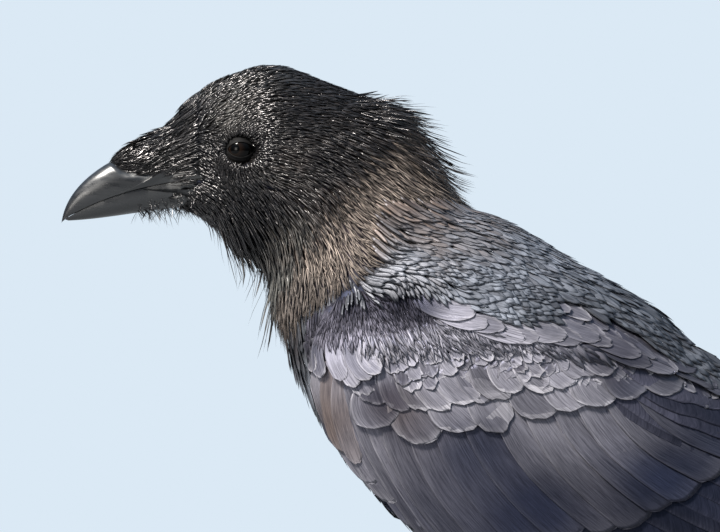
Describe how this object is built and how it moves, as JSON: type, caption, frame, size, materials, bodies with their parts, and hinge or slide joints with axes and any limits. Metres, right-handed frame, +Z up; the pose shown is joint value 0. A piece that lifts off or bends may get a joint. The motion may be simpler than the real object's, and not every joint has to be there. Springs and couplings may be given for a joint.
{
  "type": "raven",
  "caption": "Life-size still model of a standing raven in profile, with folded wings, shaggy throat and deep curved bill.",
  "frame": {"origin": "on the floor under the middle of the bird's box, between its feet", "axes": "+Z up, +Y from the bill towards the tail, +X to the bird's left"},
  "size_m": [0.1329, 0.5214, 0.3698],
  "materials": {
    "plumage": "brown-black contour feathers with a soft violet and steel-blue gloss",
    "flight_feathers": "violet-black wing and tail vanes with a satin, silvery gloss",
    "horn": "slate-black horn of the bill, semi-gloss with fine lengthwise wear",
    "eye": "dark brown iris round a black pupil, wet gloss",
    "leg_scutes": "black scaly skin, dull sheen",
    "claw_horn": "black claw horn, semi-gloss"
  },
  "bodies": {
    "root": {"head": "plumage", "neck": "plumage", "trunk": "plumage", "tail": "flight_feathers", "wing_left": "flight_feathers", "wing_right": "flight_feathers", "bill_upper": "horn", "bill_lower": "horn", "eye_left": "eye", "eye_right": "eye", "thigh_left": "plumage", "thigh_right": "plumage", "shank_left": "leg_scutes", "shank_right": "leg_scutes", "toe_left_inner": "leg_scutes", "toe_left_middle": "leg_scutes", "toe_left_outer": "leg_scutes", "toe_left_hind": "leg_scutes", "toe_right_inner": "leg_scutes", "toe_right_middle": "leg_scutes", "toe_right_outer": "leg_scutes", "toe_right_hind": "leg_scutes", "claw_left_inner": "claw_horn", "claw_left_middle": "claw_horn", "claw_left_outer": "claw_horn", "claw_left_hind": "claw_horn", "claw_right_inner": "claw_horn", "claw_right_middle": "claw_horn", "claw_right_outer": "claw_horn", "claw_right_hind": "claw_horn"}
  },
  "joints": []
}
